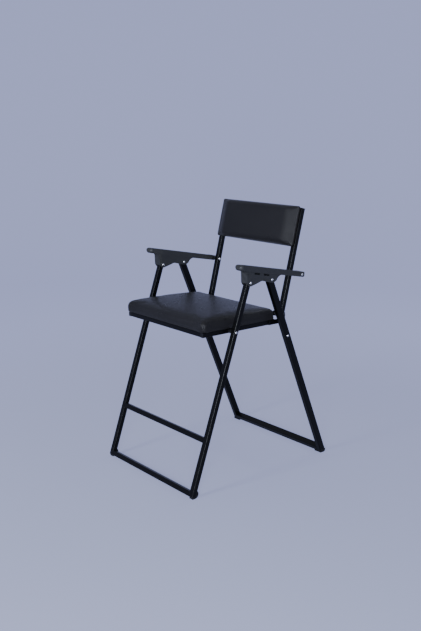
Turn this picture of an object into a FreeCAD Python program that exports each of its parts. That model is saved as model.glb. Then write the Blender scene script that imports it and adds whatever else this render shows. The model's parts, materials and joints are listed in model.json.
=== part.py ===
import FreeCAD, Part
import math
import os
import re
from FreeCAD import Placement, Rotation, Vector

# Folding bar stool with arms. Frame: +Z up, the sitter faces -Y, +X is the sitter's left.
# The origin lies on the floor, midway between the front and rear feet.
# Two square-tube frames cross the floor like an A and hang from the moulded armrests. The back
# posts turn on the rear ends of the armrests, and the seat turns on an axle held by the posts and
# on the front legs. A flat link on each side ties that axle to the rear legs.

# Driving sizes in millimetres, one named value each.
SIZES = {
    # places of the pivots, seen from the side
    "foot_front": 399.5, "foot_rear": 397.5, "arm_a_y": -110.8, "arm_a_z": 871.0,
    "arm_b_y": 11.3, "arm_b_z": 872.0, "back_c_y": 190.6, "back_c_z": 875.0,
    "axle_y": 115.8, "axle_z": 700.0,
    "seat_e_z": 672.0, "link_f_z": 611.0,
    # front and rear frames
    "leg_x": 292.0, "tube_w": 22.0, "tube_wall": 1.5, "rear_depth": 30.0, "leg_top": 12.0,
    "foot_lift": 9.0, "footrest_z": 233.0, "front_bar_z": 16.0, "rear_bar_z": 20.0,
    "foot_skin": 1.0, "front_foot_r": 18.0, "front_foot_in": -9.0, "foot_lead": 4.0,
    "rear_foot_w": 39.0, "rear_foot_lead": 20.0, "rear_foot_back": 11.0, "rear_foot_r": 9.0,
    "rear_foot_tall": 16.0,
    # pins, rivets and the axle
    "pin_r": 4.0, "pin_fit": 0.05, "head_r": 7.5, "head_top_r": 4.5, "head_t": 2.2,
    "axle_r": 5.0, "nut_r": 8.0, "nut_t": 5.0, "bush_r": 8.0, "side_gap": 0.4,
    # links
    "link_t": 4.0, "link_w": 22.0,
    # back
    "back_lean": 13.44, "post_gap": 34.0, "post_up": 278.0, "post_down": 196.0, "cap_t": 3.0,
    "ear_t": 3.0, "ear_w": 22.0, "pad_in": 4.5, "pad_low": 114.0, "pad_over": 6.0,
    "board_t": 6.0, "back_board_in": 2.5, "pad_t": 30.0, "pad_round": 18.0, "screw_r": 2.5,
    "screw_head_r": 5.0, "screw_in": 28.0,
    # seat
    "seat_gap": 22.5, "seat_front": -316.0, "seat_back": 88.5, "rail_t": 20.0,
    "seat_board_t": 9.0, "board_in": 4.0, "cushion_out": 2.0, "cushion_lift": 1.0,
    "cushion_front": 51.0, "cushion_mid": 55.0, "cushion_rear": 44.0, "cushion_round": 20.0,
    "hinge_t": 5.0,
    # armrests, side outline measured from the front rivet
    "arm_w": 40.0, "rim_w": 44.0, "web_t": 4.0, "arm_top": 69.0, "arm_slope": 0.18,
    "rim_drop": 23.6, "nose_u": -69.5, "nose_r": 20.0, "nose_root": 13.0, "nose_bend_u": 0.0,
    "nose_toe": 9.0, "arm_front_u": -21.0, "lobe_r": 14.0, "lobe_side": 10.0, "arch_u": 66.0, "arch_w": 0.5,
    "arch_side": 5.5, "heel_u": 26.0, "heel_w": 5.5, "strap_u": 172.0, "strap_h": 21.0,
    "strap_root": 14.0, "top_wall": 5.0, "slot_len": 32.0, "slot_h": 7.0, "slot_a_u": 20.0,
    "slot_b_u": 73.0, "slot_drop": 25.2, "plug_in": 8.0,
}
SIDES = (("left", 1), ("right", -1))

doc = FreeCAD.newDocument("FoldingBarStool")
sheet = doc.addObject("Spreadsheet::Sheet", "Sizes")
for row, (alias, size) in enumerate(SIZES.items(), start=1):
    sheet.set(f"A{row}", alias)
    sheet.set(f"B{row}", str(size))
    sheet.setAlias(f"B{row}", alias)
doc.recompute()

# Half widths that follow from the legs' place and the gaps beside them, and the pad's top edge.
DERIVED = {
    "pad_high": "(post_up + pad_over)",
    "pad_half": "(post_x + tube_w / 2 - pad_in)",
    "post_x": "(leg_x - tube_w / 2 - post_gap - tube_w / 2)",
    "seat_half": "(leg_x - tube_w / 2 - seat_gap)",
}
WORD = re.compile(r"[a-z][a-z0-9_]*")
nodes = []


def expr(text):
    """Write out the derived sizes, then point each size named in a formula at its cell."""
    text = str(text)
    for name, formula in DERIVED.items():
        text = re.sub(rf"\b{name}\b", formula, text)
    return WORD.sub(lambda m: "Sizes." + m.group() if m.group() in SIZES else m.group(), text)


def value(text):
    """The number that a formula of sizes gives."""
    result = sheet.evalExpression(expr(text))
    return float(getattr(result, "Value", result))


def bind(obj, **formulas):
    for prop, text in formulas.items():
        obj.setExpression(prop.replace("__", "."), expr(text))


def box(name, x, y, z, dx, dy, dz):
    """A block from its low corner and its three lengths, all formulas."""
    block = doc.addObject("Part::Box", name)
    bind(block, Length=dx, Width=dy, Height=dz)
    bind(block, Placement__Base__x=x, Placement__Base__y=y, Placement__Base__z=z)
    return block


def rod(name, x, y, z, r, length, tip=None):
    """A round bar along X from its low-x end, or a cone where tip gives the far radius."""
    bar = doc.addObject("Part::Cone" if tip else "Part::Cylinder", name)
    if tip:
        bind(bar, Radius1=r, Radius2=tip, Height=length)
    else:
        bind(bar, Radius=r, Height=length)
    bar.Placement = Placement(Vector(), Rotation(Vector(0, 1, 0), 90))
    bind(bar, Placement__Base__x=x, Placement__Base__y=y, Placement__Base__z=z)
    return bar


def pin_along_y(name, x, y, z, r, length):
    """A round bar along +Y."""
    bar = doc.addObject("Part::Cylinder", name)
    bind(bar, Radius=r, Height=length)
    bar.Placement = Placement(Vector(), Rotation(Vector(1, 0, 0), -90))
    bind(bar, Placement__Base__x=x, Placement__Base__y=y, Placement__Base__z=z)
    return bar


def cut(name, base, tools):
    result = base
    for index, tool in enumerate(tools):
        step = doc.addObject("Part::Cut", f"{name}_cut{index}")
        step.Base, step.Tool = result, tool
        result = step
    return result


def fuse(name, pieces):
    if len(pieces) == 1:
        return pieces[0]
    joined = doc.addObject("Part::MultiFuse", f"{name}_fuse")
    joined.Shapes = pieces
    return joined


def group(name, pieces):
    """Separate solids that share one node."""
    joined = doc.addObject("Part::Compound", f"{name}_group")
    joined.Links = pieces
    return joined


def publish(obj, name, frame=None):
    """Label a finished sub-part and put it in its frame: (y, z, turn about X)."""
    if obj.TypeId in ("Part::Box", "Part::Cylinder", "Part::Fillet"):
        obj = group(name, [obj])
    obj.Label = name
    if frame:
        y, z, turn = frame
        obj.setExpression("Placement", expr(
            f"placement(vector(0; {y}; {z}); rotation(vector(1; 0; 0); {turn}))"))
    nodes.append(obj)
    return obj


def side_x(side, low, high):
    """Low x of a stretch that runs from low to high on the left, mirrored on the right."""
    return f"{low}" if side > 0 else f"-({high})"


# The frames that the sub-parts stand in: origin on a pivot, local -Z down the leg.
FRONT_LEN = "sqrt((foot_front + arm_a_y)^2 + arm_a_z^2)"
REAR_LEN = "sqrt((foot_rear - arm_b_y)^2 + arm_b_z^2)"
FRONT = ("arm_a_y", "arm_a_z", "-atan((foot_front + arm_a_y) / arm_a_z)")
REAR = ("arm_b_y", "arm_b_z", "atan((foot_rear - arm_b_y) / arm_b_z)")
BACK = ("back_c_y", "back_c_z", "-back_lean")
ARM = ("arm_a_y", "arm_a_z", "0")
SEAT = ("axle_y", "axle_z", "0")
SEAT_E_Y = "arm_a_y - (foot_front + arm_a_y) * (arm_a_z - seat_e_z) / arm_a_z"
LINK_F_Y = "arm_b_y + (foot_rear - arm_b_y) * (arm_b_z - link_f_z) / arm_b_z"
INNER, OUTER = "leg_x - tube_w / 2", "leg_x + tube_w / 2"


def head(name, side, face, y, z, outward):
    """A domed rivet head on a face; outward is +1 where it points away from the middle."""
    if side * outward > 0:
        start = face if side > 0 else f"-({face})"
        return rod(name, start, y, z, "head_r", "head_t", "head_top_r")
    start = f"{face} - head_t" if side > 0 else f"-({face}) - head_t"
    return rod(name, start, y, z, "head_top_r", "head_t", "head_r")


def tube_x(name, y, z, dy, dz):
    """A square tube between the two legs of a frame, hollow along X."""
    length = f"2 * ({INNER})"
    outer = box(f"{name}_out", f"-({INNER})", f"{y} - {dy} / 2", f"{z} - {dz} / 2", length, dy, dz)
    bore = box(f"{name}_bore", f"-({INNER})", f"{y} - {dy} / 2 + tube_wall",
               f"{z} - {dz} / 2 + tube_wall", length, f"{dy} - 2 * tube_wall",
               f"{dz} - 2 * tube_wall")
    return cut(name, outer, [bore])


def leg(name, side, length, depth, holes):
    """A hollow leg hanging from its arm rivet, with a cross hole at each height in holes."""
    x, low = side_x(side, INNER, OUTER), f"-({length} - foot_lift)"
    tall = f"{length} - foot_lift + leg_top"
    outer = box(f"{name}_out", x, f"-{depth} / 2", low, "tube_w", depth, tall)
    bore = box(f"{name}_bore", f"{x} + tube_wall", f"-{depth} / 2 + tube_wall", low,
               "tube_w - 2 * tube_wall", f"{depth} - 2 * tube_wall", tall)
    drills = [rod(f"{name}_hole{i}", x, "0", z, "pin_r + pin_fit", "tube_w")
              for i, z in enumerate(holes)]
    return cut(name, outer, [bore] + drills)


# Front frame: two legs, the footrest, the floor bar and the rivets that carry the seat.
FOOTREST = f"-(arm_a_z - footrest_z) * ({FRONT_LEN}) / arm_a_z"
FRONT_BAR = f"-(arm_a_z - front_bar_z) * ({FRONT_LEN}) / arm_a_z"
REAR_BAR = f"-(arm_b_z - rear_bar_z) * ({REAR_LEN}) / arm_b_z"
SEAT_E = f"-(arm_a_z - seat_e_z) * ({FRONT_LEN}) / arm_a_z"
LINK_F = f"-(arm_b_z - link_f_z) * ({REAR_LEN}) / arm_b_z"

for word, side in SIDES:
    publish(leg(f"front_leg_{word}", side, FRONT_LEN, "tube_w", ["0", SEAT_E]),
            f"front_leg_{word}", FRONT)
    shank = rod(f"seat_rivet_{word}_shank", side_x(side, INNER, OUTER), "0", SEAT_E, "pin_r",
                "tube_w")
    rivet = fuse(f"seat_rivet_{word}",
                 [shank, head(f"seat_rivet_{word}_head", side, OUTER, "0", SEAT_E, 1)])
    publish(rivet, f"seat_rivet_{word}", FRONT)
publish(tube_x("footrest_bar", "0", FOOTREST, "tube_w", "tube_w"), "footrest_bar", FRONT)
publish(tube_x("front_floor_bar", "0", FRONT_BAR, "tube_w", "tube_w"), "front_floor_bar", FRONT)

# Rear frame: deeper legs, the floor bar and the rivets that carry the links.
for word, side in SIDES:
    publish(leg(f"rear_leg_{word}", side, REAR_LEN, "rear_depth", ["0", LINK_F]),
            f"rear_leg_{word}", REAR)
    shank = rod(f"leg_rivet_{word}_shank", side_x(side, INNER, OUTER), "0", LINK_F, "pin_r",
                "tube_w")
    rivet = fuse(f"leg_rivet_{word}",
                 [shank, head(f"leg_rivet_{word}_head", side, OUTER, "0", LINK_F, 1)])
    publish(rivet, f"leg_rivet_{word}", REAR)
publish(tube_x("rear_floor_bar", "0", REAR_BAR, "rear_depth", "tube_w"), "rear_floor_bar", REAR)


def placed(name, obj, frame):
    """A piece drawn on a pivot, held where its frame stands."""
    holder = group(name, [obj])
    y, z, turn = frame
    holder.setExpression("Placement", expr(
        f"placement(vector(0; {y}; {z}); rotation(vector(1; 0; 0); {turn}))"))
    return holder


def sockets(name, side, frame, length, depth, bar_local):
    """The room that a leg and the end of its floor bar take out of a foot."""
    x = side_x(side, INNER, OUTER)
    leg_room = box(f"{name}_leg", x, f"-{depth} / 2", f"-({length} - foot_lift)", "tube_w", depth,
                   length)
    bar_room = box(f"{name}_bar", f"-({INNER})", f"-{depth} / 2", f"{bar_local} - tube_w / 2",
                   f"2 * ({INNER})", depth, "tube_w")
    return [placed(f"{name}_leg_room", leg_room, frame), placed(f"{name}_bar_room", bar_room, frame)]


# Feet: the front ones are round behind the leg, the rear ones reach under the floor bar.
for word, side in SIDES:
    name = f"front_foot_{word}"
    x = side_x(side, f"{INNER} - foot_skin", f"{OUTER} + foot_skin")
    wide = "tube_w + 2 * foot_skin"
    knob = rod(f"{name}_knob", x, "front_foot_r + front_foot_in - foot_front", "front_foot_r",
               "front_foot_r", wide)
    sole = box(f"{name}_sole", x, "-foot_front - foot_lead", "0", wide,
               "front_foot_r + front_foot_in + foot_lead", "front_foot_r")
    publish(cut(name, fuse(name, [knob, sole]),
                sockets(name, side, FRONT, FRONT_LEN, "tube_w", FRONT_BAR)), name)
    name = f"rear_foot_{word}"
    x = side_x(side, f"{OUTER} + foot_skin - rear_foot_w", f"{OUTER} + foot_skin")
    heel = rod(f"{name}_heel", x, "foot_rear + rear_foot_back - rear_foot_r", "rear_foot_r",
               "rear_foot_r", "rear_foot_w")
    low = box(f"{name}_low", x, "foot_rear - rear_foot_lead", "0", "rear_foot_w",
              "rear_foot_lead + rear_foot_back - rear_foot_r", "rear_foot_tall")
    high = box(f"{name}_high", x, "foot_rear - rear_foot_lead", "rear_foot_r", "rear_foot_w",
               "rear_foot_lead + rear_foot_back", "rear_foot_tall - rear_foot_r")
    publish(cut(name, fuse(name, [heel, low, high]),
                sockets(name, side, REAR, REAR_LEN, "rear_depth", REAR_BAR)), name)

# Armrests: a moulded channel over both legs, with a broad rim, a nose and a strap to the back.
PIVOT_B = ("arm_b_y - arm_a_y", "arm_b_z - arm_a_z")
PIVOT_C = ("back_c_y - arm_a_y", "back_c_z - arm_a_z")


def plane_sketch(body, name, start, role="YZ_Plane"):
    """A sketch across X, or across Z on the other plane, at the place given by a formula."""
    sketch = body.newObject("Sketcher::SketchObject", name)
    plane = next(o for o in body.Origin.OriginFeatures if o.Role == role)
    sketch.AttachmentSupport = [(plane, "")]
    sketch.MapMode = "FlatFace"
    bind(sketch, AttachmentOffset__Base__z=start)
    return sketch


def outline(sketch, steps):
    """Draw a closed outline: a point for a line, or (through, end) for an arc."""
    here = steps[0]
    for step in steps[1:]:
        if isinstance(step[0], tuple):
            through, end = step
            sketch.addGeometry(Part.Arc(Vector(*here, 0), Vector(*through, 0), Vector(*end, 0)))
            here = end
        else:
            sketch.addGeometry(Part.LineSegment(Vector(*here, 0), Vector(*step, 0)))
            here = step


def pad(body, sketch, name, length, subtract=False, down=False):
    """Add the profile along its normal, or take it away there, or below it where down is set."""
    kind = "PartDesign::Pocket" if subtract else "PartDesign::Pad"
    feature = body.newObject(kind, name)
    feature.Profile = sketch
    bind(feature, Length=length)
    if subtract and not down:
        feature.Reversed = True
    return feature


def arm_top(u):
    """Height of the armrest's top line over the front rivet."""
    return value("arm_top") - value("arm_slope") * u


def strap_end():
    """Top, far and low points of the strap's round end about the back bolt."""
    (cu, cw), half = (value(p) for p in PIVOT_C), value("strap_h / 2")
    slant = math.atan(value("arm_slope"))
    rise, run = half * math.cos(slant), half * math.sin(slant)
    return (cu + run, cw + rise), (cu + rise, cw - run), (cu - run, cw - rise)


def nose_points():
    """Where the top line starts to turn down, a point of that bend, the tip and the underside."""
    tip_u, r, slant = value("nose_u"), value("nose_r"), math.atan(value("arm_slope"))
    centre_u = tip_u + r
    start_u = centre_u + r * math.sin(slant)
    centre_w = arm_top(start_u) - r * math.cos(slant)
    bend = r * math.sqrt(0.5)
    under_u = value("arm_front_u - nose_root")
    return ((start_u, arm_top(start_u)), (centre_u - bend, centre_w + bend), (tip_u, centre_w),
            (under_u, arm_top(under_u) - value("rim_drop")))


def arm_outline():
    """The side view of the webs, clockwise: top, strap, rear lobe, arch, front lobe, nose."""
    bu, bw = (value(p) for p in PIVOT_B)
    lobe, side, front = value("lobe_r"), value("lobe_side"), value("arm_front_u")
    arch, arch_w, drop = value("arch_u"), value("arch_w"), value("arch_side")
    end_top, end_far, end_low = strap_end()
    nose_top, bend, tip, under = nose_points()
    strap, root = value("strap_u"), value("strap_root")
    strap_low = (strap + root, arm_top(strap + root) - value("strap_h"))
    heel = (bu + value("heel_u"), bw - value("heel_w"))
    nose_root = value("nose_root")
    return [
        nose_top,
        end_top,
        (end_far, end_low),
        strap_low,
        ((heel[0] + root, strap_low[1] - root / 4), heel),
        (bu + side, bw - lobe),
        ((bu - side, bw - lobe + drop / 2), (arch + side, arch_w)),
        ((arch, arch_w + drop / 4), (arch - side, arch_w)),
        ((arch - side * 3, -drop), (side, -lobe + drop / 3)),
        ((0, -lobe), (-side, -lobe + drop / 2)),
        (front + drop / 2, 0),
        (front, under[1] - nose_root),
        ((front - nose_root / 4, under[1] - nose_root / 3), under),
        tip,
        (bend, nose_top),
    ]


def rim_outline():
    """The broader band along the top of the armrest."""
    end_top, end_far, end_low = strap_end()
    nose_top, bend, tip, under = nose_points()
    return [
        nose_top,
        end_top,
        (end_far, end_low),
        under,
        tip,
        (bend, nose_top),
    ]


def plan_outline(side):
    """The band seen from above: it turns outwards in front and ends in a round nose."""
    half, centre, toe = value("rim_w / 2"), value("leg_x"), value("nose_toe")
    bend, behind = value("nose_bend_u"), value(f"{PIVOT_C[0]} + strap_h")
    tip, middle = value("nose_u"), centre + toe
    corner = tip + half
    points = [
        (centre - half, behind),
        (centre - half, bend),
        (middle - half, corner),
        ((middle, tip), (middle + half, corner)),
        (centre + half, bend),
        (centre + half, behind),
        (centre - half, behind),
    ]
    return [tuple((side * p[0], p[1]) for p in step) if isinstance(step[0], tuple)
            else (side * step[0], step[1]) for step in points]


def surround(side):
    """A frame round the band, seen from above, that is cut away outside its plan outline."""
    near, far = value("leg_x - rim_w"), value("leg_x + rim_w")
    front, behind = value("nose_u - rim_w"), value(f"{PIVOT_C[0]} + 2 * strap_h")
    return [(side * near, behind), (side * near, front), (side * far, front),
            (side * far, behind), (side * near, behind)]


def cavity_outline():
    """The space between the webs, where the legs hang and fold."""
    front, strap = value("arm_front_u + web_t"), value("strap_u")
    wall, low = value("top_wall"), value("-3 * lobe_r")
    return [
        (front, low),
        (front, arm_top(front) - wall - value("rim_drop") / 2),
        (front + wall * 2, arm_top(front + wall * 2) - wall),
        (strap, arm_top(strap) - wall),
        (strap + value("strap_root"), low),
        (front, low),
    ]


def slot_outline(start):
    """A slot under the band's edge, which it follows."""
    end, high, gap = start + value("slot_len"), value("slot_h"), value("slot_drop")
    top = (arm_top(start) - gap, arm_top(end) - gap)
    return [(start, top[0]), (end, top[1]), (end, top[1] - high), (start, top[0] - high),
            (start, top[0])]


def armrest(name, side):
    body = doc.addObject("PartDesign::Body", name)
    centre = f"{side} * leg_x"
    web = plane_sketch(body, f"{name}_side", f"{centre} - arm_w / 2")
    outline(web, arm_outline())
    pad(body, web, f"{name}_web", "arm_w")
    rim = plane_sketch(body, f"{name}_rim", side_x(side, "leg_x - rim_w / 2",
                                                   "leg_x + rim_w / 2 + nose_toe"))
    outline(rim, rim_outline())
    pad(body, rim, f"{name}_band", "rim_w + nose_toe")
    above = "arm_top - arm_slope * nose_u + rim_drop"
    plan = plane_sketch(body, f"{name}_plan", above, "XY_Plane")
    outline(plan, surround(side))
    outline(plan, plan_outline(side))
    pad(body, plan, f"{name}_trimmed", f"{above} + 3 * lobe_r", subtract=True, down=True)
    hollow = plane_sketch(body, f"{name}_hollow", f"{centre} - arm_w / 2 + web_t")
    outline(hollow, cavity_outline())
    pad(body, hollow, f"{name}_cavity", "arm_w - 2 * web_t", subtract=True)
    holes = plane_sketch(body, f"{name}_holes", f"{centre} - rim_w / 2")
    for u, w in (("0", "0"), PIVOT_B, PIVOT_C):
        holes.addGeometry(Part.Circle(Vector(value(u), value(w), 0), Vector(0, 0, 1),
                                      value("pin_r + pin_fit")))
    pad(body, holes, f"{name}_drill", "rim_w", subtract=True)
    outer_web = "leg_x + arm_w / 2 - web_t" if side > 0 else "-(leg_x + arm_w / 2)"
    slots = plane_sketch(body, f"{name}_slots", outer_web)
    for start in ("slot_a_u", "slot_b_u"):
        outline(slots, slot_outline(value(start)))
    pad(body, slots, f"{name}_slotted", "web_t", subtract=True)
    return body


for word, side in SIDES:
    publish(armrest(f"armrest_{word}", side), f"armrest_{word}", ARM)
    web_in, web_out = "leg_x - arm_w / 2", "leg_x + arm_w / 2"
    for label, (u, w) in (("front", ("0", "0")), ("rear", PIVOT_B)):
        name = f"arm_{label}_pin_{word}"
        shank = rod(f"{name}_shank", side_x(side, web_in, web_out), u, w, "pin_r", "arm_w")
        pin = fuse(name, [shank, head(f"{name}_outer", side, web_out, u, w, 1),
                          head(f"{name}_inner", side, web_in, u, w, -1)])
        publish(pin, name, ARM)
    bushes = []
    for label, (u, w) in (("a", ("0", "0")), ("b", PIVOT_B)):
        for place, low, high in (
                ("in", f"{web_in} + web_t", f"{INNER} - side_gap"),
                ("out", f"{OUTER} + side_gap", f"{web_out} - web_t")):
            name = f"bush_{word}_{label}_{place}"
            length = f"({high}) - ({low})"
            ring = rod(f"{name}_ring", side_x(side, low, high), u, w, "bush_r", length)
            bore = rod(f"{name}_bore", side_x(side, low, high), u, w, "pin_r + pin_fit", length)
            bushes.append(cut(name, ring, [bore]))
    publish(group(f"arm_bushes_{word}", bushes), f"arm_bushes_{word}", ARM)
    u, w = PIVOT_C
    name = f"back_bolt_{word}"
    post_in, rim_out = "post_x - tube_w / 2 - side_gap", "leg_x + rim_w / 2"
    shank = rod(f"{name}_shank", side_x(side, post_in, rim_out), u, w, "pin_r",
                f"({rim_out}) - ({post_in})")
    publish(fuse(name, [shank, head(f"{name}_outer", side, rim_out, u, w, 1),
                        head(f"{name}_inner", side, post_in, u, w, -1)]), name, ARM)
    name = f"back_spacer_{word}"
    low, high = "post_x + tube_w / 2 + side_gap", "leg_x - rim_w / 2"
    ring = rod(f"{name}_ring", side_x(side, low, high), u, w, "bush_r", f"({high}) - ({low})")
    bore = rod(f"{name}_bore", side_x(side, low, high), u, w, "pin_r + pin_fit",
               f"({high}) - ({low})")
    publish(cut(name, ring, [bore]), name, ARM)

# Back: two posts with a clevis and the axle at their feet, the board and the pad.
AXLE_BY = ("(axle_y - back_c_y) * cos(back_lean * 1deg)"
           " - (axle_z - back_c_z) * sin(back_lean * 1deg)")
AXLE_BZ = ("(axle_y - back_c_y) * sin(back_lean * 1deg)"
           " + (axle_z - back_c_z) * cos(back_lean * 1deg)")
SCREW_ROWS = ("pad_low + screw_in", "pad_high - screw_in")
POST_IN, POST_OUT = "post_x - tube_w / 2", "post_x + tube_w / 2"

for word, side in SIDES:
    name = f"back_post_{word}"
    x = side_x(side, POST_IN, POST_OUT)
    tall = "post_up + post_down"
    outer = box(f"{name}_out", x, "-tube_w / 2", "-post_down", "tube_w", "tube_w", tall)
    bore = box(f"{name}_bore", f"{x} + tube_wall", "-tube_w / 2 + tube_wall", "-post_down",
               "tube_w - 2 * tube_wall", "tube_w - 2 * tube_wall", tall)
    drills = [rod(f"{name}_hole", x, "0", "0", "pin_r + pin_fit", "tube_w")]
    drills += [pin_along_y(f"{name}_screw{i}", f"{side} * post_x", "-tube_w / 2", z,
                           "screw_r + pin_fit", "tube_w") for i, z in enumerate(SCREW_ROWS)]
    publish(cut(name, outer, [bore] + drills), name, BACK)
    caps = [box(f"post_cap_{word}_{place}", x, "-tube_w / 2", z, "tube_w", "tube_w", "cap_t")
            for place, z in (("top", "post_up"), ("foot", "-post_down - cap_t"))]
    publish(group(f"post_caps_{word}", caps), f"post_caps_{word}", BACK)
    ears = []
    for place, low, high in (("in", f"{POST_IN} - ear_t", POST_IN),
                             ("out", POST_OUT, f"{POST_OUT} + ear_t")):
        name = f"clevis_{word}_{place}"
        x = side_x(side, low, high)
        plate = box(f"{name}_plate", x, AXLE_BY, f"{AXLE_BZ} - ear_w / 2", "ear_t",
                    f"tube_w / 2 - ({AXLE_BY})", "ear_w")
        eye = rod(f"{name}_eye", x, AXLE_BY, AXLE_BZ, "ear_w / 2", "ear_t")
        bore = rod(f"{name}_bore", x, AXLE_BY, AXLE_BZ, "axle_r + pin_fit", "ear_t")
        ears.append(cut(name, fuse(name, [plate, eye]), [bore]))
    publish(group(f"back_clevis_{word}", ears), f"back_clevis_{word}", BACK)
    nut_low = f"{INNER} + side_gap"
    nut = rod(f"axle_nut_{word}_body", side_x(side, nut_low, f"{nut_low} + nut_t"), AXLE_BY,
              AXLE_BZ, "nut_r", "nut_t")
    publish(nut, f"axle_nut_{word}", BACK)

AXLE_END = f"{INNER} + side_gap"
publish(rod("hinge_axle_rod", f"-({AXLE_END})", AXLE_BY, AXLE_BZ, "axle_r", f"2 * ({AXLE_END})"),
        "hinge_axle", BACK)
BOARD_FACE = "-tube_w / 2 - board_t"
publish(box("back_board_plate", "-(pad_half - back_board_in)", BOARD_FACE,
            "pad_low + back_board_in", "2 * (pad_half - back_board_in)", "board_t",
            "pad_high - pad_low - 2 * back_board_in"),
        "back_board", BACK)
screws = []
for word, side in SIDES:
    for i, z in enumerate(SCREW_ROWS):
        name = f"back_screw_{word}_{i}"
        x = f"{side} * post_x"
        shank = pin_along_y(f"{name}_shank", x, "-tube_w / 2", z, "screw_r", "tube_w")
        cap = pin_along_y(f"{name}_head", x, "tube_w / 2", z, "screw_head_r", "screw_r")
        screws.append(fuse(name, [shank, cap]))
publish(group("back_screws", screws), "back_screws", BACK)


def rounded(name, block, radius, keep):
    """A closed block for a padded piece, rounded on the edges that keep picks."""
    doc.recompute()
    soft = doc.addObject("Part::Fillet", f"{name}_soft")
    soft.Base = block
    soft.Edges = [(n, value(radius), value(radius))
                  for n, e in enumerate(block.Shape.Edges, start=1) if keep(e.CenterOfMass)]
    return soft


PAD_FRONT = "-tube_w / 2 - board_t - pad_t"
pad_face = value(PAD_FRONT)
pad_block = box("back_pad_block", "-pad_half", PAD_FRONT, "pad_low", "2 * pad_half", "pad_t",
                "pad_high - pad_low")
publish(rounded("back_pad", pad_block, "pad_round", lambda c: c.y < pad_face + 0.01), "back_pad",
        BACK)

# Seat: a welded frame of square tube, a board, a cushion, hinge ears behind and spacers in front.
LOCAL_E = (f"({SEAT_E_Y}) - axle_y", "seat_e_z - axle_z")
RAIL_Z = "seat_e_z - rail_t / 2 - axle_z"
RAIL_F, RAIL_B = "seat_front - axle_y", "seat_back - axle_y"


def rail(name, x, y, dx, dy):
    """A square tube of the seat frame, hollow along its longer side."""
    outer = box(f"{name}_out", x, y, RAIL_Z, dx, dy, "rail_t")
    along_x = value(dx) > value(dy)
    inset_x, inset_y = ("0", "tube_wall") if along_x else ("tube_wall", "0")
    bore = box(f"{name}_bore", f"{x} + {inset_x}", f"{y} + {inset_y}", f"{RAIL_Z} + tube_wall",
               f"{dx} - 2 * {inset_x}", f"{dy} - 2 * {inset_y}", "rail_t - 2 * tube_wall")
    return cut(name, outer, [bore])


RAIL_IN = "seat_half - rail_t"
for word, side in SIDES:
    name = f"seat_rail_{word}"
    side_rail = rail(name, side_x(side, RAIL_IN, "seat_half"), RAIL_F, "rail_t",
                     "seat_back - seat_front")
    drill = rod(f"{name}_hole", side_x(side, RAIL_IN, "seat_half"), *LOCAL_E, "pin_r + pin_fit",
                "rail_t")
    publish(cut(f"{name}_drilled", side_rail, [drill]), name, SEAT)
    name = f"seat_ear_{word}"
    x = side_x(side, "seat_half", "seat_half + hinge_t")
    foot_plate = box(f"{name}_low", x, f"{RAIL_B} - 2 * rail_t", RAIL_Z, "hinge_t",
                     f"2 * rail_t - ({RAIL_B})", "rail_t")
    neck = box(f"{name}_neck", x, "-link_w / 2", RAIL_Z, "hinge_t", "link_w", f"-({RAIL_Z})")
    eye = rod(f"{name}_eye", x, "0", "0", "link_w / 2", "hinge_t")
    bore = rod(f"{name}_bore", x, "0", "0", "axle_r + pin_fit", "hinge_t")
    publish(cut(name, fuse(name, [foot_plate, neck, eye]), [bore]), name, SEAT)
    name = f"seat_spacer_{word}"
    low, high = "seat_half", f"{INNER} - side_gap"
    ring = rod(f"{name}_ring", side_x(side, low, high), *LOCAL_E, "bush_r + 1",
               f"({high}) - ({low})")
    bore = rod(f"{name}_bore", side_x(side, low, high), *LOCAL_E, "pin_r + pin_fit",
               f"({high}) - ({low})")
    publish(cut(name, ring, [bore]), name, SEAT)
    name = f"seat_bolt_{word}"
    shank = rod(f"{name}_shank", side_x(side, RAIL_IN, high), *LOCAL_E, "pin_r",
                f"({high}) - ({RAIL_IN})")
    publish(fuse(name, [shank, head(f"{name}_head", side, RAIL_IN, *LOCAL_E, -1)]), name, SEAT)
for name, y in (("seat_rail_front", RAIL_F), ("seat_rail_back", f"{RAIL_B} - rail_t")):
    publish(rail(name, f"-({RAIL_IN})", y, f"2 * ({RAIL_IN})", "rail_t"), name, SEAT)
plugs = []
for word, side in SIDES:
    for place, y in (("front", RAIL_F), ("back", f"{RAIL_B} - plug_in")):
        plugs.append(box(f"rail_plug_{word}_{place}",
                         f"{side_x(side, RAIL_IN, 'seat_half')} + tube_wall", y,
                         f"{RAIL_Z} + tube_wall", "rail_t - 2 * tube_wall", "plug_in",
                         "rail_t - 2 * tube_wall"))
publish(group("rail_plugs", plugs), "rail_plugs", SEAT)
BOARD_Z = f"{RAIL_Z} + rail_t"
SEAT_BOARD = ("-(seat_half - board_in)", f"{RAIL_F} + board_in", BOARD_Z,
              "2 * (seat_half - board_in)", "seat_back - seat_front - 2 * board_in",
              "seat_board_t")
publish(box("seat_board_plate", *SEAT_BOARD), "seat_board", SEAT)


def cushion_outline():
    """The side view of the cushion: a flat base and a top that is crowned along the seat."""
    front, rear = value(f"{RAIL_F} - cushion_out"), value(f"{RAIL_B} + cushion_out")
    base = value(f"{BOARD_Z} + cushion_lift")
    high, crown, low = (value(f"{BOARD_Z} + {t}") for t in
                        ("cushion_front", "cushion_mid", "cushion_rear"))
    return [(front, base), (front, high), (((front + rear) / 2, crown), (rear, low)),
            (rear, base), (front, base)]


foam = doc.addObject("PartDesign::Body", "seat_foam")
foam_side = plane_sketch(foam, "seat_foam_side", "-(seat_half + cushion_out)")
outline(foam_side, cushion_outline())
pad(foam, foam_side, "seat_foam_block", "2 * (seat_half + cushion_out)")
cushion_base = value(f"{BOARD_Z} + cushion_lift")
cushion = rounded("seat_cushion", foam, "cushion_round", lambda c: c.z > cushion_base + 0.01)
publish(cut("seat_cushion", cushion, [box("seat_board_room", *SEAT_BOARD)]), "seat_cushion", SEAT)

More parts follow.
